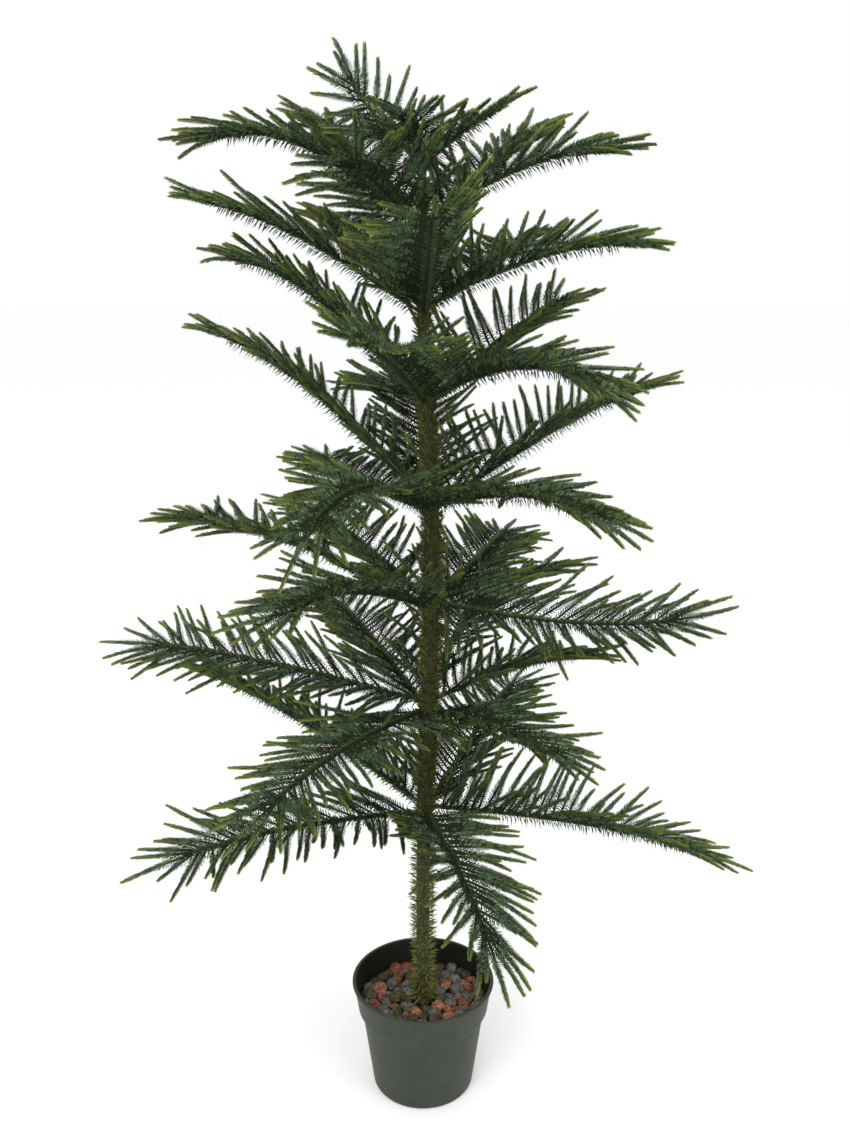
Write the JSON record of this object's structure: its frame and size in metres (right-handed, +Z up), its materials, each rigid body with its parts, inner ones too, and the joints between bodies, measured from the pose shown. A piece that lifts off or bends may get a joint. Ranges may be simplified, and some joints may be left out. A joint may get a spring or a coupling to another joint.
{
  "type": "potted artificial norfolk pine",
  "caption": "Potted artificial Norfolk pine: tapered trunk, tiered limbs with two rows of needle-covered twigs, and a tapered nursery pot filled with gravel.",
  "frame": {"origin": "centre of the pot's flat underside, on the floor", "axes": "+Z up along the trunk, -Y towards the front the picture shows, +X to the right of it"},
  "size_m": [0.8095, 0.7136, 1.2445],
  "materials": {
    "pot": "matte",
    "gravel": "rough",
    "trunk": "matte",
    "bough": "matte",
    "foliage": "matte"
  },
  "bodies": {
    "root": {"bough_1_1": "bough", "bough_1_2": "bough", "bough_1_3": "bough", "bough_1_4": "bough", "bough_1_5": "bough", "bough_2_1": "bough", "bough_2_2": "bough", "bough_2_3": "bough", "bough_2_4": "bough", "bough_2_5": "bough", "bough_2_6": "bough", "bough_3_1": "bough", "bough_3_2": "bough", "bough_3_3": "bough", "bough_3_4": "bough", "bough_3_5": "bough", "bough_3_6": "bough", "foliage_1_1": "foliage", "foliage_1_2": "foliage", "foliage_1_3": "foliage", "foliage_1_4": "foliage", "foliage_1_5": "foliage", "foliage_2_1": "foliage", "foliage_2_2": "foliage", "foliage_2_3": "foliage", "foliage_2_4": "foliage", "foliage_2_5": "foliage", "foliage_2_6": "foliage", "foliage_3_1": "foliage", "foliage_3_2": "foliage", "foliage_3_3": "foliage", "foliage_3_4": "foliage", "foliage_3_5": "foliage", "foliage_3_6": "foliage", "foliage_4_1": "foliage", "foliage_4_2": "foliage", "foliage_4_3": "foliage", "foliage_4_4": "foliage", "foliage_4_5": "foliage", "foliage_4_6": "foliage", "foliage_5_1": "foliage", "foliage_5_2": "foliage", "foliage_5_3": "foliage", "foliage_5_4": "foliage", "foliage_5_5": "foliage", "foliage_6_1": "foliage", "foliage_6_2": "foliage", "foliage_6_3": "foliage", "foliage_6_4": "foliage", "foliage_6_5": "foliage", "foliage_7_1": "foliage", "foliage_7_2": "foliage", "foliage_7_3": "foliage", "foliage_7_4": "foliage", "foliage_7_5": "foliage", "foliage_tip": "foliage", "gravel": "gravel", "pot": "pot", "trunk": "trunk"}
  },
  "joints": []
}
